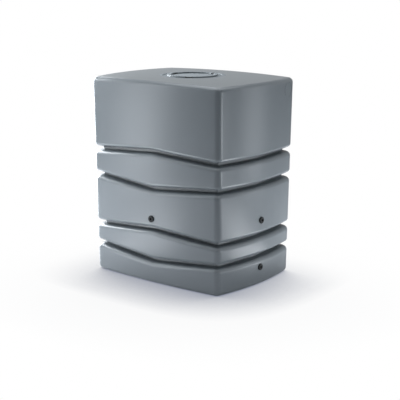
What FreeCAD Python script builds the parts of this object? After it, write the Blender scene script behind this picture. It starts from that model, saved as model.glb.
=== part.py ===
import FreeCAD, Part
import math
import os

from FreeCAD import Vector

# Overall form of the tank
HEIGHT = 1000.0
WIDTH = 800.0
DEPTH = 610.0
FRONT_BULGE = 22.0
SIDE_BULGE = 38.0
CROWN_RADIUS = 10900.0
DRAFT = 15.0
CORNER_RADIUS = 34.0
TOP_RADIUS = 22.0
BASE_RADIUS = 20.0
WALL = 5.0

# Grooves round the tank: where the roof of each meets the skin, first the height at the corners
# and then in the middle of a wide side
GROOVES = ((646.0, 671.0), (517.0, 488.0), (263.5, 288.5), (159.0, 129.5))
GROOVE_DEPTH = 36.0
GROOVE_BACK = 11.5
ROOF_ANGLE = 14.0
SILL_ANGLE = 12.0
UPPER_LIP_RADIUS = 17.5
LOWER_LIP_RADIUS = 25.0
BACK_ROUNDING = 16.0

# The top is level within this radius, and crowned in steps outside it
LEVEL_RADIUS = 151.0
CROWN_STEPS = 3

# Most degrees that one face of a rounded edge turns
SHORT_TURN = 17.1

# Neck and the round well that the lid lies in
WELL_RADIUS = 150.0
WELL_DEPTH = 4.5
WELL_EDGE = 3.0
NECK_BORE_RADIUS = 114.0
COLLAR_HEIGHT = 4.0
NECK_REACH = 24.0
CATCH_COUNT = 3
CATCH_ANGLE = 36.0
CATCH_HEIGHT = 4.0
CATCH_DROP = 14.0
CATCH_REACH = 2.8
CATCH_PLAY = 0.8
STOP_ANGLE = 2.0

# Lid
LID_RADIUS = 125.0
LID_WALL = 2.4
LID_EDGE = 1.0
LID_PANEL_DROP = 8.0
LID_DOME = 4.0
DOME_STEPS = 3
LID_TURN = 35.0
LID_PLAY = 0.5
NOTCH_WIDTH = 34.0
NOTCH_BEARING = 60.0
LATCH_SLOT = 5.0
LATCH_WEB = 2.0
LUG_ANGLE = 28.0
LUG_HEIGHT = 4.0
LUG_PLAY = 0.5
LUG_GAP = 0.6
RIB_COUNT = 6
RIB_WALL = 2.0
RIB_HEIGHT = 9.0
RIB_HUB_RADIUS = 12.0

# Sealing ring of the lid
SEAL_WALL = 1.6
SEAL_PLAY = 0.3

# Threaded ports and their plugs
PORT_UPPER_HEIGHT = 325.0
PORT_LOWER_HEIGHT = 90.0
THREAD_RADIUS = 13.2
THREAD_PLAY = 0.05
INSERT_RADIUS = 15.5
INSERT_COLLAR_RADIUS = 17.5
INSERT_COLLAR_START = 4.0
INSERT_LENGTH = 18.0
BOSS_WALL = 5.5
LAND_RADIUS = 19.0
LAND_DEPTH = 0.8
PLUG_RADIUS = 16.0
PLUG_HEAD = 5.0
PLUG_REACH = 14.0
PLUG_SOCKET = 12.0
PLUG_SOCKET_DEPTH = 8.0
PLUG_CHAMFER = 1.2
GASKET_THICKNESS = 2.0
GASKET_RADIUS = 15.6
GASKET_PLAY = 0.4

# Ring mark for the filler connection
MARK_RADIUS = 40.0
MARK_LINE = 3.0
MARK_DEPTH = 1.0
MARK_OFFSET = 232.0
MARK_HEIGHT = 935.0

# Arcs of the outline at the top: radii, and centres on the tank's middle planes
FRONT_RADIUS = (WIDTH ** 2 / 4 + FRONT_BULGE ** 2) / (2 * FRONT_BULGE)
SIDE_RADIUS = (DEPTH ** 2 / 4 + SIDE_BULGE ** 2) / (2 * SIDE_BULGE)
FRONT_CENTRE = Vector(0, FRONT_RADIUS - FRONT_BULGE - DEPTH / 2, 0)
SIDE_CENTRE = Vector(WIDTH / 2 + SIDE_BULGE - SIDE_RADIUS, 0, 0)
X_AXIS = Vector(1, 0, 0)
Y_AXIS = Vector(0, 1, 0)
Z_AXIS = Vector(0, 0, 1)
ORIGIN = Vector(0, 0, 0)


def lean(z):
    """How far the sides have moved in at height z."""
    return DRAFT * (1 - z / HEIGHT)


def front_middle(inset, z):
    return Vector(0, -(DEPTH / 2 + FRONT_BULGE - inset), z)


def side_middle(inset, z):
    return Vector(WIDTH / 2 + SIDE_BULGE - inset, 0, z)


def corner_centre(reach):
    """Where the arcs of the front and the right side cross when both are moved in by reach."""
    gap = SIDE_CENTRE - FRONT_CENTRE
    front = FRONT_RADIUS - reach
    side = SIDE_RADIUS - reach
    along = (gap.Length ** 2 + front ** 2 - side ** 2) / (2 * gap.Length)
    aside = math.sqrt(front ** 2 - along ** 2)
    way = gap * (1 / gap.Length)
    return FRONT_CENTRE + way * along + Vector(-way.y, way.x, 0) * aside


def on_circle(centre, radius, point):
    """The point of a circle that lies towards another point."""
    way = point - centre
    return centre + way * (radius / way.Length)


def tangents_meet(centre, first, second):
    """Where the tangents at two points of a circle meet."""
    a = first - centre
    b = second - centre
    return centre + (a + b) * (a.Length * b.Length / (a.Length * b.Length + a.dot(b)))


def arc_weight(centre, first, second):
    """Weight that makes the curve through such a meeting point a circular arc."""
    return math.cos((first - centre).getAngle(second - centre) / 2)


def row(corner_inset, middle_inset, rounding, straight):
    """Seven poles at height 0: front middle, front arc, corner start, corner arc, corner end, side
    arc, side middle. A straight row runs straight from the corner to the middles."""
    centre = corner_centre(corner_inset + rounding)
    start = on_circle(FRONT_CENTRE, FRONT_RADIUS - corner_inset, centre)
    end = on_circle(SIDE_CENTRE, SIDE_RADIUS - corner_inset, centre)
    front = front_middle(middle_inset, 0)
    side = side_middle(corner_inset, 0)
    front_pole = tangents_meet(FRONT_CENTRE, front, start)
    side_pole = tangents_meet(SIDE_CENTRE, end, side)
    if straight:
        front_pole = (front + start) * 0.5
        side_pole = (end + side) * 0.5
    return [front, front_pole, start, tangents_meet(centre, start, end), end, side_pole, side]


def row_weights():
    """The weights of a row's poles, taken from the tank's outline at the top."""
    poles = row(0, 0, CORNER_RADIUS, False)
    front = arc_weight(FRONT_CENTRE, poles[0], poles[2])
    corner = arc_weight(corner_centre(CORNER_RADIUS), poles[2], poles[4])
    side = arc_weight(SIDE_CENTRE, poles[4], poles[6])
    return [1, front, 1, corner, 1, side, 1]


def skin_row(inset, corner_height, middle_height, depth=0, rounding=CORNER_RADIUS, straight=False):
    """A row on the leaning sides, or a depth behind them."""
    poles = row(inset + depth + lean(corner_height), inset + depth + lean(middle_height),
                rounding, straight)
    between = (corner_height + middle_height) / 2
    heights = [middle_height, between] + [corner_height] * 5
    return [Vector(pole.x, pole.y, height) for pole, height in zip(poles, heights)]


def towards(first, second, share):
    """The row that lies a share of the way from one row to another."""
    return [a + (b - a) * share for a, b in zip(first, second)]


def edges_where(solid, test):
    """The edges of a solid whose middle point passes the test."""
    found = []
    for edge in solid.Edges:
        middle = edge.valueAt((edge.FirstParameter + edge.LastParameter) / 2)
        if test(edge, middle):
            found.append(edge)
    return found


def upright(edge):
    ends = [v.Point for v in edge.Vertexes]
    return len(ends) == 2 and abs(ends[0].z - ends[1].z) > 0.8 * edge.Length


def turn_strips(first, corner, last, turn, fine):
    """A rounded edge from one row to another, in turns short enough for a light mesh. The corner
    row is where the two sides would meet. Without fine it has two flat steps."""
    weight = math.cos(turn / 2)
    parts = math.ceil(turn / math.radians(SHORT_TURN)) if fine else 2

    def blend(t, s):
        shares = ((1 - t) * (1 - s), ((1 - t) * s + t * (1 - s)) * weight, t * s)
        total = sum(shares)
        return [(a * shares[0] + b * shares[1] + c * shares[2]) * (1 / total)
                for a, b, c in zip(first, corner, last)]

    steps = []
    for i in range(parts + 1):
        done = math.sin(turn * i / parts / 2)
        left = math.sin(turn * (1 - i / parts) / 2)
        steps.append(done / (done + left))
    strips = []
    for t, s in zip(steps, steps[1:]):
        if fine:
            strips.append(([blend(t, t), blend(t, s), blend(s, s)], math.cos(turn / parts / 2)))
        else:
            strips.append(([blend(t, t), blend(s, s)], 1))
    return strips


def groove_strips(groove, inset, below, fine):
    """The strips from the row below a groove to its upper lip, and the row that they end on: a
    rounded lip, a sloping sill, an upright back, a sloping roof and another rounded lip."""
    corner_height, middle_height = groove
    roof = math.radians(ROOF_ANGLE)
    sill = math.radians(SILL_ANGLE)
    depth = GROOVE_DEPTH + inset
    roof_lift = inset / math.cos(roof) - inset * math.tan(roof)
    sill_lift = -(GROOVE_DEPTH * (math.tan(roof) + math.tan(sill)) + GROOVE_BACK
                  + inset / math.cos(sill) - inset * math.tan(sill))
    back_top = inset / math.cos(roof) - depth * math.tan(roof)
    back_foot = sill_lift + GROOVE_DEPTH * math.tan(sill)
    rounding = CORNER_RADIUS - inset

    def at(lift):
        return skin_row(inset, corner_height + lift, middle_height + lift, 0, rounding)

    def behind(lift):
        return skin_row(0, corner_height + lift, middle_height + lift, depth, BACK_ROUNDING, True)

    def half_way(first, last):
        middle = towards(first, last, 0.5)
        return [([first, middle], 1), ([middle, last], 1)]

    low_turn = math.pi / 2 - sill
    high_turn = math.pi / 2 - roof
    low_reach = (LOWER_LIP_RADIUS - inset) * math.tan(low_turn / 2)
    high_reach = (UPPER_LIP_RADIUS - inset) * math.tan(high_turn / 2)
    low_end = towards(at(sill_lift), behind(back_foot), low_reach * math.cos(sill) / GROOVE_DEPTH)
    high_start = towards(at(roof_lift), behind(back_top), high_reach * math.cos(roof) / GROOVE_DEPTH)
    foot = at(sill_lift - low_reach)
    head = at(roof_lift + high_reach)
    strips = [([below, foot], 1)] + turn_strips(foot, at(sill_lift), low_end, low_turn, fine)
    strips += half_way(low_end, behind(back_foot)) + [([behind(back_foot), behind(back_top)], 1)]
    strips += half_way(behind(back_top), high_start)
    return strips + turn_strips(high_start, at(roof_lift), head, high_turn, fine), head


def on_crown(poles, inset):
    """Lays a row on the crowned top, which falls away from the middle of the tank."""
    laid = []
    for pole in poles:
        drop = (pole.x ** 2 + pole.y ** 2) / (2 * CROWN_RADIUS)
        laid.append(Vector(pole.x, pole.y, HEIGHT - inset - drop))
    for i in (1, 3, 5):
        first, second = laid[i - 1], laid[i + 1]
        middle = (first + second) * 0.5
        chord = math.hypot(first.x - second.x, first.y - second.y)
        beyond = middle.x * (poles[i].x - middle.x) + middle.y * (poles[i].y - middle.y)
        height = middle.z + chord ** 2 / (4 * CROWN_RADIUS) - beyond / CROWN_RADIUS
        laid[i] = Vector(poles[i].x, poles[i].y, height)
    return laid


def crown_rows(shoulder, inset):
    """Rows on the crown from the shoulder in to the level round middle, each with its weights."""
    rim = [on_circle(ORIGIN, LEVEL_RADIUS, Vector(pole.x, pole.y, 0)) for pole in shoulder]
    weights = [1] * 7
    for i in (1, 3, 5):
        weights[i] = arc_weight(ORIGIN, rim[i - 1], rim[i + 1])
        rim[i] = tangents_meet(ORIGIN, rim[i - 1], rim[i + 1])
    level = HEIGHT - inset - LEVEL_RADIUS ** 2 / (2 * CROWN_RADIUS)
    rows = [(shoulder, row_weights())]
    for i in range(1, CROWN_STEPS):
        share = i / CROWN_STEPS
        blend = [a * (1 - share) + b * share for a, b in zip(row_weights(), weights)]
        rows.append((on_crown(towards(shoulder, rim, share), inset), blend))
    return rows + [([Vector(pole.x, pole.y, level) for pole in rim], weights)]


def on_curve(poles, weights):
    """The ends and middle points of a row's arcs."""
    points = list(poles)
    for i in (1, 3, 5):
        points[i] = (poles[i - 1] + poles[i] * (2 * weights[i]) + poles[i + 1]) * (0.5 / (1 + weights[i]))
    return points


def patches(rows, weights, share, fine):
    """The faces between two or three rows: three with arcs, or without fine six with chords."""
    last = len(rows) - 1
    shares = [share if 0 < i < last else 1 for i in range(len(rows))]
    steps = (0, 2, 4) if fine else range(6)
    span = 3 if fine else 2
    if not fine:
        rows = [on_curve(poles, factors) for poles, factors in zip(rows, weights)]
        weights = [[1] * 7] * len(rows)
    faces = []
    for first in steps:
        poles = [row[first:first + span] for row in rows]
        factors = [[shares[i] * weights[i][first + j] for j in range(span)] for i in range(len(rows))]
        surface = Part.BSplineSurface()
        surface.buildFromPolesMultsKnots(poles, [last + 1] * 2, [span] * 2, [0, 1], [0, 1], False,
                                         False, last, span - 1, factors)
        faces.append(surface.toShape())
    return faces


def level_face(poles, weights, fine):
    """The level face inside a row and its mirror images."""
    edges = []
    if fine:
        for first in (0, 2, 4):
            curve = Part.BSplineCurve()
            curve.buildFromPolesMultsKnots(poles[first:first + 3], [3, 3], [0, 1], False, 2,
                                           weights[first:first + 3])
            edges.append(curve.toShape())
    else:
        points = on_curve(poles, weights)
        edges = [Part.makeLine(a, b) for a, b in zip(points, points[1:])]
    edges += [edge.mirror(ORIGIN, X_AXIS) for edge in edges]
    edges += [edge.mirror(ORIGIN, Y_AXIS) for edge in edges]
    return Part.Face(Part.Wire(Part.__sortEdges__(edges)))


def form(inset, grooves, fine):
    """The tank's form moved in by inset: one quarter of patches and its mirror images. Without
    fine its arcs are chords that lie up to 2.4 mm inside them."""
    rounding = CORNER_RADIUS - inset
    base = BASE_RADIUS - inset
    top = TOP_RADIUS - inset
    floor = skin_row(inset, inset, inset, base, rounding - base)
    below = skin_row(inset, BASE_RADIUS, BASE_RADIUS, 0, rounding)
    strips = turn_strips(floor, skin_row(inset, inset, inset, 0, rounding), below, math.pi / 2, fine)
    for groove in sorted(grooves):
        added, below = groove_strips(groove, inset, below, fine)
        strips += added
    edge = on_crown(row(inset, inset, rounding, False), inset)
    out = inset + lean(HEIGHT - top)
    outer = [Vector(pole.x, pole.y, high.z - top)
             for pole, high in zip(row(out, out, rounding, False), edge)]
    shoulder = on_crown(row(inset + top, inset + top, rounding - top, False), inset)
    half_way = towards(below, outer, 0.5)
    strips += [([below, half_way], 1), ([half_way, outer], 1)]
    strips += turn_strips(outer, edge, shoulder, math.pi / 2, fine)
    crown = crown_rows(shoulder, inset)
    faces = []
    for rows, share in strips:
        faces += patches(rows, [row_weights()] * len(rows), share, fine)
    for (poles, weights), (more_poles, more_weights) in zip(crown, crown[1:]):
        faces += patches([poles, more_poles], [weights, more_weights], 1, fine)
    faces += [face.mirror(ORIGIN, X_AXIS) for face in faces]
    faces += [face.mirror(ORIGIN, Y_AXIS) for face in faces]
    faces += [level_face(floor, row_weights(), fine), level_face(*crown[-1], fine)]
    shell = Part.makeShell(faces)
    shell.sewShape()
    solid = Part.makeSolid(shell)
    if solid.Volume < 0:
        solid.reverse()
    return solid


def disc(radius, low, high):
    return Part.makeCylinder(radius, high - low, Vector(0, 0, low), Z_AXIS)


def ring(outer, inner, low, high):
    return disc(outer, low, high).cut(disc(inner, low, high))


def sector(outer, inner, low, high, bearing, angle):
    """Part of a ring, centred on a bearing in degrees."""
    wedge = Part.makeCylinder(outer, high - low, Vector(0, 0, low), Z_AXIS, angle)
    wedge = wedge.cut(disc(inner, low, high))
    wedge.rotate(ORIGIN, Z_AXIS, bearing - angle / 2)
    return wedge


def bearings(start):
    return [start + i * 360 / CATCH_COUNT for i in range(CATCH_COUNT)]


# Levels and radii that the neck, the seal and the lid share
WELL_FLOOR = HEIGHT - WELL_DEPTH
COLLAR_TOP = WELL_FLOOR + COLLAR_HEIGHT
NECK_RADIUS = NECK_BORE_RADIUS + WALL
NECK_FOOT = WELL_FLOOR - NECK_REACH
CATCH_RADIUS = NECK_BORE_RADIUS - CATCH_REACH
CATCH_FOOT = WELL_FLOOR - CATCH_DROP
CATCH_BEARING = NOTCH_BEARING - LID_TURN
LID_TOP = COLLAR_TOP + SEAL_WALL + LID_WALL
PANEL_TOP = LID_TOP - LID_PANEL_DROP
SKIRT_RADIUS = CATCH_RADIUS - CATCH_PLAY
LUG_TOP = CATCH_FOOT - LUG_PLAY
LUG_FOOT = LUG_TOP - LUG_HEIGHT


def port_frames():
    """Each port's name, the middle of its land and the way that it faces."""
    upper = lean(PORT_UPPER_HEIGHT) + LAND_DEPTH
    lower = lean(PORT_LOWER_HEIGHT) + LAND_DEPTH
    return (("front", front_middle(upper, PORT_UPPER_HEIGHT), -Y_AXIS),
            ("side_upper", side_middle(upper, PORT_UPPER_HEIGHT), X_AXIS),
            ("side_lower", side_middle(lower, PORT_LOWER_HEIGHT), X_AXIS))


def rod(frame, radius, inner, outer):
    """A round bar on a port's axis, between two distances out from its land."""
    name, land, outward = frame
    return Part.makeCylinder(radius, outer - inner, land + outward * inner, outward)


def insert_envelope(frame):
    front = rod(frame, INSERT_RADIUS, -INSERT_COLLAR_START, 0)
    return front.fuse(rod(frame, INSERT_COLLAR_RADIUS, -INSERT_LENGTH, -INSERT_COLLAR_START))


def port_insert(frame):
    """Brass bush with the port's thread, moulded into the wall."""
    return insert_envelope(frame).cut(rod(frame, THREAD_RADIUS + THREAD_PLAY, -INSERT_LENGTH, 0))


def port_seal(frame):
    gasket = rod(frame, GASKET_RADIUS, 0, GASKET_THICKNESS)
    return gasket.cut(rod(frame, THREAD_RADIUS + GASKET_PLAY, 0, GASKET_THICKNESS))


def port_plug(frame):
    """Round-headed screw plug with a hexagon socket."""
    name, land, outward = frame
    face = GASKET_THICKNESS + PLUG_HEAD
    head = rod(frame, PLUG_RADIUS, GASKET_THICKNESS, face)
    far = edges_where(head, lambda e, m: (m - land).dot(outward) > face - 0.01 and len(e.Vertexes) == 1)
    head = head.makeChamfer(PLUG_CHAMFER, far)
    plug = head.fuse(rod(frame, THREAD_RADIUS, -PLUG_REACH, GASKET_THICKNESS))
    across = PLUG_SOCKET / math.sqrt(3)
    side = outward.cross(Z_AXIS)
    start = land + outward * (face - PLUG_SOCKET_DEPTH)
    points = []
    for i in range(7):
        angle = math.radians(60 * i)
        points.append(start + side * (across * math.cos(angle)) + Z_AXIS * (across * math.sin(angle)))
    socket = Part.Face(Part.makePolygon(points)).extrude(outward * (PLUG_SOCKET_DEPTH + 1))
    return plug.cut(socket).removeSplitter()


def filler_mark():
    """The shallow ring that marks where the pipe from the gutter is let in."""
    reach = 3 * SIDE_BULGE
    start = side_middle(reach, MARK_HEIGHT) + Vector(0, MARK_OFFSET, 0)
    line = Part.makeCylinder(MARK_RADIUS, 2 * reach, start, X_AXIS)
    line = line.cut(Part.makeCylinder(MARK_RADIUS - MARK_LINE, 2 * reach, start, X_AXIS))
    return line.cut(form(MARK_DEPTH, (), True))


def well():
    """The room for the lid: a shallow round pan with a sloping foot."""
    pan = disc(WELL_RADIUS, WELL_FLOOR, HEIGHT + WELL_DEPTH)
    foot = edges_where(pan, lambda e, m: m.z < WELL_FLOOR + 0.01 and not upright(e))
    return pan.makeChamfer(WELL_EDGE, foot)


def cavity():
    """The water room: the form inside the wall, less what stands into it."""
    room = form(WALL, GROOVES, False)
    room = room.cut(disc(WELL_RADIUS + WALL, WELL_FLOOR - WALL, HEIGHT))
    room = room.cut(disc(NECK_RADIUS, NECK_FOOT, HEIGHT))
    for frame in port_frames():
        room = room.cut(rod(frame, INSERT_COLLAR_RADIUS + BOSS_WALL, -INSERT_LENGTH, WALL))
    return room


def tank_body():
    """The tank in one piece, with the catches of its neck and the pockets of its ports."""
    body = form(0, GROOVES, True).cut(well())
    body = body.fuse(disc(NECK_RADIUS, WELL_FLOOR, COLLAR_TOP))
    body = body.cut(filler_mark())
    body = body.cut(cavity())
    body = body.cut(disc(NECK_BORE_RADIUS, NECK_FOOT - 1, COLLAR_TOP + 1))
    for bearing in bearings(CATCH_BEARING):
        body = body.fuse(sector(NECK_BORE_RADIUS + 0.5 * WALL, CATCH_RADIUS, CATCH_FOOT,
                                CATCH_FOOT + CATCH_HEIGHT, bearing, CATCH_ANGLE))
        stop = bearing - (CATCH_ANGLE - STOP_ANGLE) / 2
        body = body.fuse(sector(NECK_BORE_RADIUS + 0.5 * WALL, CATCH_RADIUS, NECK_FOOT,
                                CATCH_FOOT, stop, STOP_ANGLE))
    for frame in port_frames():
        body = body.cut(rod(frame, LAND_RADIUS, 0, LAND_RADIUS))
        body = body.cut(insert_envelope(frame))
    return body.removeSplitter()


def lid_seal():
    """Rubber ring that caps the collar of the neck."""
    top = COLLAR_TOP + SEAL_WALL
    leg_foot = WELL_FLOOR + SEAL_PLAY
    outer_leg = NECK_RADIUS + SEAL_PLAY
    inner_leg = NECK_BORE_RADIUS - SEAL_PLAY
    seal = ring(outer_leg + SEAL_WALL, inner_leg - SEAL_WALL, leg_foot, top)
    return seal.cut(ring(outer_leg, inner_leg, leg_foot, COLLAR_TOP))


def turned(points):
    """A solid turned about the tank's axis from (radius, height) points."""
    corners = [Vector(radius, 0, height) for radius, height in points]
    return Part.Face(Part.makePolygon(corners + corners[:1])).revolve(ORIGIN, Z_AXIS, 360)


def dome(reach, drop):
    """Points on the lid's dome from the middle out to a radius, or that much below it."""
    inner = SKIRT_RADIUS - LID_WALL
    sphere = (inner ** 2 + LID_DOME ** 2) / (2 * LID_DOME)
    crest = PANEL_TOP + LID_DOME - sphere
    radii = [reach * i / DOME_STEPS for i in range(DOME_STEPS + 1)]
    return [(radius, crest + math.sqrt((sphere - drop) ** 2 - radius ** 2)) for radius in radii]


def lid_shell():
    """Domed panel, skirt, and the channel rim that covers the seal, turned as one."""
    inner = SKIRT_RADIUS - LID_WALL
    crest = LID_TOP - LID_WALL
    points = dome(inner, LID_WALL)
    points += [(inner, LUG_FOOT), (SKIRT_RADIUS, LUG_FOOT), (SKIRT_RADIUS, crest),
               (LID_RADIUS - LID_WALL, crest), (LID_RADIUS - LID_WALL, WELL_FLOOR + LID_PLAY),
               (LID_RADIUS, WELL_FLOOR + LID_PLAY), (LID_RADIUS, LID_TOP), (inner, LID_TOP)]
    points += reversed(dome(inner, 0))
    shell = turned(points)
    crown = edges_where(shell, lambda e, m: m.z > LID_TOP - 0.01 and not upright(e))
    return shell.makeChamfer(LID_EDGE, crown)


def lid_rib(bearing):
    """One rib under the panel, from its middle to the skirt."""
    reach = SKIRT_RADIUS - LID_WALL / 2
    foot = PANEL_TOP - RIB_HEIGHT
    top = [Vector(radius, 0, height) for radius, height in dome(reach, LID_WALL / 2)]
    outline = top + [Vector(reach, 0, foot), Vector(0, 0, foot), top[0]]
    rib = Part.Face(Part.makePolygon(outline)).extrude(Vector(0, RIB_WALL, 0))
    rib.translate(Vector(0, -RIB_WALL / 2, 0))
    rib.rotate(ORIGIN, Z_AXIS, bearing)
    return rib


def lid():
    """Domed lid with ribs, three lugs, a window over each lug, and a spring tongue."""
    inner = SKIRT_RADIUS - LID_WALL / 2
    solid = lid_shell()
    hub = disc(RIB_HUB_RADIUS, PANEL_TOP - RIB_HEIGHT, dome(RIB_HUB_RADIUS, LID_WALL / 2)[-1][1])
    solid = solid.fuse([hub] + [lid_rib(NOTCH_BEARING + i * 360 / RIB_COUNT) for i in range(RIB_COUNT)])
    lug_radius = NECK_BORE_RADIUS - LUG_GAP
    for bearing in bearings(NOTCH_BEARING):
        solid = solid.fuse(sector(lug_radius, inner, LUG_FOOT, LUG_TOP, bearing, LUG_ANGLE))
        solid = solid.cut(rim_window(bearing, NOTCH_WIDTH, 0))
    slot = NOTCH_WIDTH / 2 + LATCH_WEB + LATCH_SLOT / 2
    return solid.cut(rim_window(bearings(NOTCH_BEARING)[-1], LATCH_SLOT, slot))


def rim_window(bearing, width, aside):
    """A straight cut through the rim of the lid at a bearing, down to the panel's level."""
    inner = SKIRT_RADIUS - 5 * LID_WALL
    start = Vector(inner, aside - width / 2, PANEL_TOP + LID_PLAY)
    window = Part.makeBox(LID_RADIUS + LID_WALL - inner, width, LID_PANEL_DROP, start)
    window.rotate(ORIGIN, Z_AXIS, bearing)
    return window


def save(shape, name):
    shape.exportStep("parts/" + name + ".step")


os.makedirs("parts", exist_ok=True)
save(tank_body(), "tank_body")
save(lid(), "lid")
save(lid_seal(), "lid_seal")
for frame in port_frames():
    save(port_insert(frame), "port_insert_" + frame[0])
    save(port_seal(frame), "plug_seal_" + frame[0])
    save(port_plug(frame), "plug_" + frame[0])
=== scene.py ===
import bpy
import math
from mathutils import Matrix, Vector


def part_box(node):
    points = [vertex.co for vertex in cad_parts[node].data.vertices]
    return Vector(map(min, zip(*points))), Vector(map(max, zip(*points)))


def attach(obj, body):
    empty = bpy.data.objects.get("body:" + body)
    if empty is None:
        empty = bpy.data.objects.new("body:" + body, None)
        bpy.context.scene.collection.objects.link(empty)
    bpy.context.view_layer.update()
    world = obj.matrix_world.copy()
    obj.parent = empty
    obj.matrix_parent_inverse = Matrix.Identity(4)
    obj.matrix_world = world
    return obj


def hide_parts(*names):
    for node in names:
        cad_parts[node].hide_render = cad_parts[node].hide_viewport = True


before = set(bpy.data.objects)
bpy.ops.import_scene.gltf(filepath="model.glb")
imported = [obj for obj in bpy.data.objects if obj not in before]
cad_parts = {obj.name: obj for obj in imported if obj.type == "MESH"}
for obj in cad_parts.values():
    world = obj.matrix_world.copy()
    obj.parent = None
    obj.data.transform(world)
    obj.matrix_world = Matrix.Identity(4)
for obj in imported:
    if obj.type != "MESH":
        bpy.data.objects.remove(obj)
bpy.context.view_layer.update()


# The tank: one blow-moulded shell of grey polyethylene, satin outside, with the faint flow
# clouds and the fine orange peel that the mould leaves on such a large surface. The well
# round the lid is cut and scuffed, so it is duller than the skin.

TANK_GREY = (0.106, 0.120, 0.129)
TANK_PALE = (0.111, 0.125, 0.134)
TANK_SATIN = 0.29
WELL_REACH = 0.165
WELL_DULLNESS = 0.35
CLOUD_SCALE = 3.1
CLOUD_SHEEN = 0.02
GRAIN_SCALE = 210
GRAIN_STRENGTH = 0.12
GRAIN_HEIGHT = 0.0006
PEEL_SCALE = 38
PEEL_STRENGTH = 0.1
PEEL_HEIGHT = 0.001
MERGE_DISTANCE = 0.00002
SHELL_SHARP_ANGLE = 32


class Value:
    """A socket of a node tree that can be added and scaled like a number."""

    def __init__(self, nodes, socket):
        self.nodes = nodes
        self.socket = socket

    def maths(self, operation, other):
        return self.nodes.node("ShaderNodeMath", {"operation": operation}, {0: self, 1: other})

    def __add__(self, other):
        return self.maths("ADD", other)

    def __radd__(self, other):
        return self.maths("ADD", other)

    def __sub__(self, other):
        return self.maths("SUBTRACT", other)

    def __rsub__(self, other):
        return self.nodes.node("ShaderNodeMath", {"operation": "SUBTRACT"}, {0: other, 1: self})

    def __mul__(self, other):
        return self.maths("MULTIPLY", other)

    def __rmul__(self, other):
        return self.maths("MULTIPLY", other)

    def clamped(self):
        return self.nodes.node("ShaderNodeClamp", {}, {"Value": self})


class Nodes:
    """A node tree, and one way to add any node to it."""

    def __init__(self, tree):
        self.tree = tree

    def node(self, kind, settings, inputs, output=0):
        made = self.tree.nodes.new(kind)
        for key, value in settings.items():
            setattr(made, key, value)
        for key, value in inputs.items():
            if isinstance(value, Value):
                self.tree.links.new(value.socket, made.inputs[key])
            else:
                made.inputs[key].default_value = value
        return Value(self, made.outputs[output])

    def show(self, value, output):
        self.tree.links.new(value.socket, self.tree.nodes[output].inputs["Surface"])

    def white_share(self, in_mirrors):
        """How white the surroundings are for a ray: fully to the camera and through glass, else in part."""
        seen = self.node("ShaderNodeLightPath", {}, {}, "Is Camera Ray")
        through = self.node("ShaderNodeLightPath", {}, {}, "Is Transmission Ray")
        mirrored = self.node("ShaderNodeLightPath", {}, {}, "Is Glossy Ray")
        return seen + through + mirrored * in_mirrors


class Finish(Nodes):
    """One material, built up node by node around its main shader."""

    def __init__(self, name, constants):
        self.material = bpy.data.materials.new(name)
        self.material.use_nodes = True
        super().__init__(self.material.node_tree)
        self.shader = self.tree.nodes["Principled BSDF"]
        for key, value in constants.items():
            self.shader.inputs[key].default_value = value

    def feed(self, key, value):
        self.tree.links.new(value.socket, self.shader.inputs[key])

    def surface(self):
        return Value(self, self.shader.outputs[0])

    def place(self):
        return self.node("ShaderNodeTexCoord", {}, {}, "Object")

    def noise(self, scale, detail):
        return self.node("ShaderNodeTexNoise", {}, {"Vector": self.place(), "Scale": scale, "Detail": detail})

    def bump(self, height, strength, distance, under=None):
        inputs = {"Height": height, "Strength": strength, "Distance": distance}
        if under:
            inputs["Normal"] = under
        return self.node("ShaderNodeBump", {}, inputs)

    def blend(self, share, first, second):
        return self.node("ShaderNodeMix", {"data_type": "RGBA"},
                         {"Factor": share, "A": (*first, 1), "B": (*second, 1)}, "Result")


tank_finish = Finish("tank polyethylene", {"IOR": 1.5})
clouds = tank_finish.noise(CLOUD_SCALE, 3)
grain = tank_finish.noise(GRAIN_SCALE, 2)
peel = tank_finish.noise(PEEL_SCALE, 2)
peel_bump = tank_finish.bump(peel, PEEL_STRENGTH, PEEL_HEIGHT)
flat = tank_finish.node("ShaderNodeVectorMath", {"operation": "MULTIPLY"},
                        {0: tank_finish.place(), 1: (1, 1, 0)})
from_axis = tank_finish.node("ShaderNodeVectorMath", {"operation": "LENGTH"}, {0: flat}, "Value")
well = from_axis.maths("LESS_THAN", WELL_REACH)
tank_finish.feed("Base Color", tank_finish.blend(clouds, TANK_GREY, TANK_PALE))
tank_finish.feed("Roughness", clouds * CLOUD_SHEEN + TANK_SATIN + well * WELL_DULLNESS)
tank_finish.feed("Normal", tank_finish.bump(grain, GRAIN_STRENGTH, GRAIN_HEIGHT, peel_bump))

# The shell is a merged copy of the CAD piece, so that its shading runs smoothly over rounded edges
bpy.ops.object.select_all(action="DESELECT")
tank_body = bpy.data.objects["tank_body"]
tank_body.select_set(True)
bpy.context.view_layer.objects.active = tank_body
bpy.ops.object.duplicate()
shell = bpy.context.object
shell.name = "tank_shell"
bpy.ops.object.mode_set(mode="EDIT")
bpy.ops.mesh.select_all(action="SELECT")
bpy.ops.mesh.remove_doubles(threshold=MERGE_DISTANCE)
bpy.ops.object.mode_set(mode="OBJECT")
bpy.ops.mesh.customdata_custom_splitnormals_clear()
bpy.ops.object.shade_smooth_by_angle(angle=math.radians(SHELL_SHARP_ANGLE))
weighting = shell.modifiers.new("weighting", "WEIGHTED_NORMAL")
weighting.mode = "FACE_AREA"
weighting.keep_sharp = True
bpy.ops.object.modifier_apply(modifier=weighting.name)
shell.data.materials.clear()
shell.data.materials.append(tank_finish.material)
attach(shell, "tank")
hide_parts("tank_body")


# The lid: injection moulded in the same grey as the tank, with a finer grain, and a little
# paler and duller than it.

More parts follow.
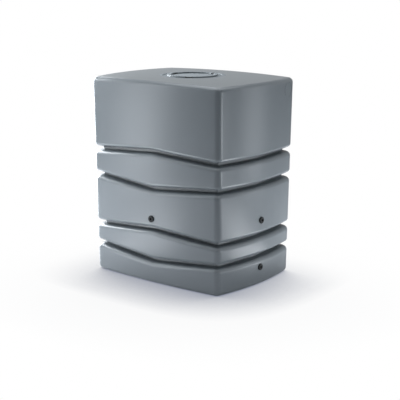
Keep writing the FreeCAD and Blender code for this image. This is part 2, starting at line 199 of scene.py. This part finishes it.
LID_GREY = (0.136, 0.153, 0.164)
LID_PALE = (0.143, 0.160, 0.171)
LID_SATIN = 0.56
LID_CLOUD_SCALE = 9
LID_CLOUD_SHEEN = 0.04
LID_GRAIN_SCALE = 340
LID_GRAIN_STRENGTH = 0.1
LID_GRAIN_HEIGHT = 0.0004


def wear(node, finish):
    """Gives a CAD piece its finish."""
    piece = bpy.data.objects[node]
    for slot in piece.material_slots:
        slot.material = finish.material
    if not piece.material_slots:
        piece.data.materials.append(finish.material)


lid_finish = Finish("lid polypropylene", {"IOR": 1.49})
lid_clouds = lid_finish.noise(LID_CLOUD_SCALE, 2)
lid_grain = lid_finish.noise(LID_GRAIN_SCALE, 2)
lid_finish.feed("Base Color", lid_finish.blend(lid_clouds, LID_GREY, LID_PALE))
lid_finish.feed("Roughness", lid_clouds * LID_CLOUD_SHEEN + LID_SATIN)
lid_finish.feed("Normal", lid_finish.bump(lid_grain, LID_GRAIN_STRENGTH, LID_GRAIN_HEIGHT))
wear("lid", lid_finish)


# The seals: the ring under the lid and the flat gaskets under the plugs, moulded in black
# rubber, dull, with a faint bloom.

RUBBER_BLACK = (0.008, 0.008, 0.008)
RUBBER_BLOOM = (0.016, 0.016, 0.015)
RUBBER_DULLNESS = 0.62
BLOOM_SCALE = 60
BLOOM_DULLNESS = 0.1

rubber_finish = Finish("seal rubber", {"IOR": 1.5})
bloom = rubber_finish.noise(BLOOM_SCALE, 3)
rubber_finish.feed("Base Color", rubber_finish.blend(bloom, RUBBER_BLACK, RUBBER_BLOOM))
rubber_finish.feed("Roughness", bloom * BLOOM_DULLNESS + RUBBER_DULLNESS)
for node in ("lid_seal", "plug_seal_front", "plug_seal_side_upper", "plug_seal_side_lower"):
    wear(node, rubber_finish)


# The port inserts: brass bushes, turned from bar with a collar that the tank's wall is moulded
# round, and a little tarnished.

BRASS_BRIGHT = (0.62, 0.43, 0.19)
BRASS_TARNISHED = (0.48, 0.31, 0.13)
BRASS_DULLNESS = 0.25
TARNISH_SCALE = 120
TARNISH_DULLNESS = 0.2

brass_finish = Finish("insert brass", {"Metallic": 1.0})
tarnish = brass_finish.noise(TARNISH_SCALE, 3)
brass_finish.feed("Base Color", brass_finish.blend(tarnish, BRASS_BRIGHT, BRASS_TARNISHED))
brass_finish.feed("Roughness", tarnish * TARNISH_DULLNESS + BRASS_DULLNESS)
for node in ("port_insert_front", "port_insert_side_upper", "port_insert_side_lower"):
    wear(node, brass_finish)


# The port plugs: one moulding of black nylon each, a chamfered head with a sunk ring round a
# hexagon socket, on a threaded stem that screws into the brass insert with the seal between.

NYLON_BLACK = (0.006, 0.007, 0.007)
NYLON_WORN = (0.010, 0.011, 0.011)
NYLON_DULLNESS = 0.45
SPECKLE_SCALE = 500
SPECKLE_DULLNESS = 0.1
GASKET = 0.002
HEAD_RADIUS = 0.016
HEAD_FACE = 0.007
CHAMFER = 0.0012
SUNK_OUTER = 0.0126
SUNK_INNER = 0.0102
SUNK_DEPTH = 0.0008
SUNK_SLOPE = 0.0004
# Radius and height above the land of each ring of the head, from its underside to the hub
HEAD_RINGS = (
    (HEAD_RADIUS, GASKET),
    (HEAD_RADIUS, HEAD_FACE - CHAMFER),
    (HEAD_RADIUS - CHAMFER, HEAD_FACE),
    (SUNK_OUTER, HEAD_FACE),
    (SUNK_OUTER - SUNK_SLOPE, HEAD_FACE - SUNK_DEPTH),
    (SUNK_INNER + SUNK_SLOPE, HEAD_FACE - SUNK_DEPTH),
    (SUNK_INNER, HEAD_FACE),
)
SOCKET_ACROSS = 0.012
SOCKET_DEPTH = 0.008
STEM_REACH = 0.014
STEM_RADIUS = 0.0121
PITCH = 0.001814
THREAD_TURNS = 7
THREAD_CREST = 0.0132
THREAD_SINK = 0.0004
THREAD_FOOT = 0.0016
THREAD_TIP = 0.25
THREAD_START = -0.0131
FACING_UP = 0.9
ROUND_STEPS = 96
THREAD_STEPS = 48
PLUG_SHARP_ANGLE = 28
# How a plug that stands along Z is turned into each port
TO_FRONT = (math.radians(90), 0, 0)
TO_SIDE = (0, math.radians(90), 0)
PORTS = (("front", TO_FRONT), ("side_upper", TO_SIDE), ("side_lower", TO_SIDE))

nylon_finish = Finish("plug nylon", {"IOR": 1.45, "Specular IOR Level": 0.25})
speckle = nylon_finish.noise(SPECKLE_SCALE, 2)
nylon_finish.feed("Base Color", nylon_finish.blend(speckle, NYLON_BLACK, NYLON_WORN))
nylon_finish.feed("Roughness", speckle * SPECKLE_DULLNESS + NYLON_DULLNESS)


def combine(piece, other, operation):
    """Joins the other solid to the piece, or cuts it out, and deletes the other."""
    change = piece.modifiers.new("change", "BOOLEAN")
    change.operation = operation
    change.solver = "EXACT"
    change.object = other
    bpy.ops.object.select_all(action="DESELECT")
    bpy.context.view_layer.objects.active = piece
    bpy.ops.object.modifier_apply(modifier=change.name)
    bpy.data.objects.remove(other)


def stem_and_head():
    """A cylinder drawn out ring by ring: it stands along Z, with the land at the origin."""
    bpy.ops.object.select_all(action="DESELECT")
    bpy.ops.mesh.primitive_cylinder_add(vertices=ROUND_STEPS, radius=STEM_RADIUS, depth=STEM_REACH + GASKET,
                                        location=(0, 0, (GASKET - STEM_REACH) / 2))
    bpy.ops.object.transform_apply(location=True, rotation=True, scale=True)
    made = bpy.context.object
    bpy.ops.object.mode_set(mode="EDIT")
    bpy.ops.mesh.select_mode(type="FACE")
    bpy.ops.mesh.select_all(action="DESELECT")
    bpy.ops.object.mode_set(mode="OBJECT")
    for face in made.data.polygons:
        face.select = face.normal.z > FACING_UP
    bpy.ops.object.mode_set(mode="EDIT")
    radius, height = STEM_RADIUS, GASKET
    for wider, higher in HEAD_RINGS:
        bpy.ops.mesh.extrude_region_move(TRANSFORM_OT_translate={"value": (0, 0, higher - height)})
        bpy.ops.transform.resize(value=(wider / radius, wider / radius, 1), center_override=(0, 0, 0))
        radius, height = wider, higher
    bpy.ops.object.mode_set(mode="OBJECT")
    return made


def thread():
    """A ridge with a narrow crest, wound round Z."""
    bpy.ops.object.select_all(action="DESELECT")
    inner = STEM_RADIUS - THREAD_SINK
    bpy.ops.mesh.primitive_plane_add(size=1, rotation=(math.radians(90), 0, 0))
    made = bpy.context.object
    made.scale = (THREAD_CREST - inner, THREAD_FOOT, 1)
    made.location = ((THREAD_CREST + inner) / 2, 0, THREAD_START)
    bpy.ops.object.transform_apply(location=True, rotation=True, scale=True)
    for corner in made.data.vertices:
        corner.select = corner.co.x > STEM_RADIUS
    for edge in made.data.edges:
        edge.select = all(made.data.vertices[end].select for end in edge.vertices)
    for face in made.data.polygons:
        face.select = False
    bpy.ops.object.mode_set(mode="EDIT")
    bpy.ops.mesh.select_mode(type="VERT")
    bpy.ops.transform.resize(value=(1, 1, THREAD_TIP), center_override=(THREAD_CREST, 0, THREAD_START))
    bpy.ops.mesh.select_all(action="SELECT")
    bpy.ops.mesh.delete(type="ONLY_FACE")
    bpy.ops.object.mode_set(mode="OBJECT")
    winding = made.modifiers.new("winding", "SCREW")
    winding.axis = "Z"
    winding.angle = math.radians(360)
    winding.screw_offset = PITCH
    winding.iterations = THREAD_TURNS
    winding.steps = THREAD_STEPS
    winding.render_steps = THREAD_STEPS
    bpy.ops.object.modifier_apply(modifier=winding.name)
    bpy.ops.object.mode_set(mode="EDIT")
    bpy.ops.mesh.select_all(action="SELECT")
    bpy.ops.mesh.fill_holes(sides=4)
    bpy.ops.mesh.normals_make_consistent(inside=False)
    bpy.ops.object.mode_set(mode="OBJECT")
    return made


plug_form = stem_and_head()
combine(plug_form, thread(), "UNION")
bpy.ops.object.select_all(action="DESELECT")
bpy.ops.mesh.primitive_cylinder_add(vertices=6, radius=SOCKET_ACROSS / math.sqrt(3), depth=2 * SOCKET_DEPTH,
                                    location=(0, 0, HEAD_FACE))
combine(plug_form, bpy.context.object, "DIFFERENCE")
plug_form.data.materials.append(nylon_finish.material)

for port, turned in PORTS:
    low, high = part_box("plug_" + port)
    middle = (Vector(low) + Vector(high)) / 2
    bpy.ops.object.select_all(action="DESELECT")
    plug_form.select_set(True)
    bpy.context.view_layer.objects.active = plug_form
    bpy.ops.object.duplicate()
    plug = bpy.context.object
    plug.name = "plug_cap_" + port
    plug.rotation_euler = turned
    if turned == TO_FRONT:
        plug.location = (middle.x, low[1] + HEAD_FACE, middle.z)
    else:
        plug.location = (high[0] - HEAD_FACE, middle.y, middle.z)
    bpy.ops.object.transform_apply(location=True, rotation=True, scale=True)
    bpy.ops.object.shade_smooth_by_angle(angle=math.radians(PLUG_SHARP_ANGLE))
    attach(plug, "plug_" + port)
    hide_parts("plug_" + port)
bpy.data.objects.remove(plug_form)


# The floor: a plain white sheet. To the camera, and in part in reflections, it shows as a glowing sheet with
# a painted shadow in its colour. The glow is darkened by ambient occlusion leant towards the back of the
# tank, so that the painted shadow lies at the tank's foot and towards the camera.

FLOOR_HALF = 12
FLOOR_WHITE = (0.8, 0.8, 0.82)
FLOOR_GLOSS = 0.1
# The lean of the ambient-occlusion lookup that places the painted shadow, towards the tank's back
PAINTED_SHADOW_LEAN = {"X": -0.525, "Y": 0.646, "Z": 0.555}
PAINTED_SHADOW_SAMPLES = 16
CLOSE_REACH = 0.35
CLOSE_SHARE = 0.85
WIDE_REACH = 0.9
WIDE_SHARE = 0.15
WHITE = (1, 1, 1)
# The colour of the darkest painted shadow on the floor
FULL_PAINTED_SHADOW = (0.0, 0.03, 0.12)

floor_finish = Finish("floor", {"Base Color": (*FLOOR_WHITE, 1), "Roughness": 0.8, "Specular IOR Level": 0.2})


def painted_shadow_share(reach):
    """How dark the painted shadow is within that reach, from 0 to 1: the share of a sky, leant towards the
    tank's back, that ambient occlusion finds hidden by the tank.
    """
    lean = floor_finish.node("ShaderNodeCombineXYZ", {}, PAINTED_SHADOW_LEAN)
    open_share = floor_finish.node("ShaderNodeAmbientOcclusion", {"samples": PAINTED_SHADOW_SAMPLES},
                                 {"Distance": reach, "Normal": lean}, "AO")
    return 1 - open_share


# Painted shadow: the floor's glow darkens where ambient occlusion finds the tank near
painted_shadow = painted_shadow_share(CLOSE_REACH) * CLOSE_SHARE + painted_shadow_share(WIDE_REACH) * WIDE_SHARE
painted_shadow_colour = floor_finish.blend(painted_shadow.clamped(), WHITE, FULL_PAINTED_SHADOW)
painted_shadow_sheet = floor_finish.node("ShaderNodeEmission", {}, {"Color": painted_shadow_colour, "Strength": 1})
shown = floor_finish.node("ShaderNodeMixShader", {}, {"Fac": floor_finish.white_share(FLOOR_GLOSS),
                                                      1: floor_finish.surface(), 2: painted_shadow_sheet})
floor_finish.show(shown, "Material Output")

bpy.ops.object.select_all(action="DESELECT")
bpy.ops.mesh.primitive_plane_add(size=2 * FLOOR_HALF)
floor = bpy.context.object
floor.name = "floor"
floor.data.materials.append(floor_finish.material)


# The light: soft panels that stand round the tank, strong on the left, weak on the right and
# dark towards the camera, low boards on the floor, a broad panel overhead, and a plain white
# backdrop that shows to the camera and, in part, in reflections.

WORLD_GLOSS = 0.5
STUDIO_WHITE = (0.95, 1.0, 1.05)
# The standing panels, as bearing and power: an upper row and a lower row
PANEL_DISTANCE = 2.4
PANEL_WIDTH = 0.6
AIM_HEIGHT = 0.6
UPPER_MIDDLE = 1.35
UPPER_TALL = 1.2
UPPER_PANELS = ((-115, 10), (-100, 55), (-85, 60), (-70, 45), (-36, 13), (128, 5))
LOWER_MIDDLE = 0.36
LOWER_TALL = 0.7
LOWER_PANELS = ((-100, 30), (-85, 5), (-40, 8), (95, 12), (128, 3.5))
# The boards that lie face up on the floor, as bearing and power
BOARD_DISTANCE = 1.15
BOARD_HEIGHT = 0.03
BOARD_WIDTH = 0.4
BOARD_LENGTH = 1
BOARDS = ((-30, 5), (108, 6.5))
OVERHEAD_HEIGHT = 4
OVERHEAD_SIZE = 5
OVERHEAD_POWER = 210

world = bpy.data.worlds.new("studio")
bpy.context.scene.world = world
world.use_nodes = True
backdrop = Nodes(world.node_tree)
unlit = backdrop.node("ShaderNodeBackground", {}, {"Strength": 0})
plain_white = backdrop.node("ShaderNodeBackground", {}, {"Color": (*WHITE, 1), "Strength": 1})
backdrop.show(backdrop.node("ShaderNodeMixShader", {}, {"Fac": backdrop.white_share(WORLD_GLOSS),
                                                        1: unlit, 2: plain_white}), "World Output")


def lamp(name, spot, turned, width, tall, power):
    """A rectangular soft lamp that the camera doesn't see."""
    data = bpy.data.lights.new(name, "AREA")
    data.shape = "RECTANGLE"
    data.size = width
    data.size_y = tall
    data.energy = power
    data.color = STUDIO_WHITE
    made = bpy.data.objects.new(name, data)
    bpy.context.collection.objects.link(made)
    made.location = spot
    made.rotation_euler = turned
    made.visible_camera = False


def around(bearing, distance, height):
    """A place round the tank, with the bearing from its front towards its port side."""
    turn = math.radians(bearing)
    return Vector((distance * math.sin(turn), -distance * math.cos(turn), height))


def panel_row(name, panels, middle, tall):
    """Standing panels that face the tank."""
    for bearing, power in panels:
        spot = around(bearing, PANEL_DISTANCE, middle)
        facing = Vector((0, 0, min(middle, AIM_HEIGHT))) - spot
        turned = facing.to_track_quat("-Z", "Y").to_euler()
        lamp("%s_%d" % (name, bearing), spot, turned, PANEL_WIDTH, tall, power)


panel_row("upper", UPPER_PANELS, UPPER_MIDDLE, UPPER_TALL)
panel_row("lower", LOWER_PANELS, LOWER_MIDDLE, LOWER_TALL)
for bearing, power in BOARDS:
    spot = around(bearing, BOARD_DISTANCE, BOARD_HEIGHT)
    face_up = (math.radians(180), 0, math.radians(bearing))
    lamp("board_%d" % bearing, spot, face_up, BOARD_WIDTH, BOARD_LENGTH, power)
lamp("overhead", Vector((0, 0, OVERHEAD_HEIGHT)), (0, 0, 0), OVERHEAD_SIZE, OVERHEAD_SIZE, OVERHEAD_POWER)


# The camera: at the photograph's angle and distance, with the lens and the shift that put the
# tank's outline where the photograph has it.

CAMERA_AZIMUTH = 39.12
CAMERA_ELEVATION = 11.39
CAMERA_DISTANCE = 5.256
FRAME_WIDTH = 400
FOCAL_PIXELS = 1040.45
PHOTO_CENTRE = (192.0, 173.02)
HALF_PIXEL = 0.5
SENSOR_WIDTH = 36.0
TARGET_HEIGHT = 0.5

azimuth, elevation = math.radians(CAMERA_AZIMUTH), math.radians(CAMERA_ELEVATION)
target = Vector((0, 0, TARGET_HEIGHT))
place = target + CAMERA_DISTANCE * Vector((math.sin(azimuth) * math.cos(elevation),
                                           -math.cos(azimuth) * math.cos(elevation), math.sin(elevation)))
camera_data = bpy.data.cameras.new("camera")
camera_data.sensor_width = SENSOR_WIDTH
camera_data.lens = FOCAL_PIXELS / FRAME_WIDTH * SENSOR_WIDTH
camera_data.shift_x = (FRAME_WIDTH / 2 - HALF_PIXEL - PHOTO_CENTRE[0]) / FRAME_WIDTH
camera_data.shift_y = (PHOTO_CENTRE[1] - FRAME_WIDTH / 2 + HALF_PIXEL) / FRAME_WIDTH
camera = bpy.data.objects.new("camera", camera_data)
bpy.context.collection.objects.link(camera)
camera.location = place
camera.rotation_euler = (target - place).to_track_quat("-Z", "Y").to_euler()
bpy.context.scene.camera = camera

bpy.context.scene.view_settings.view_transform = "Standard"
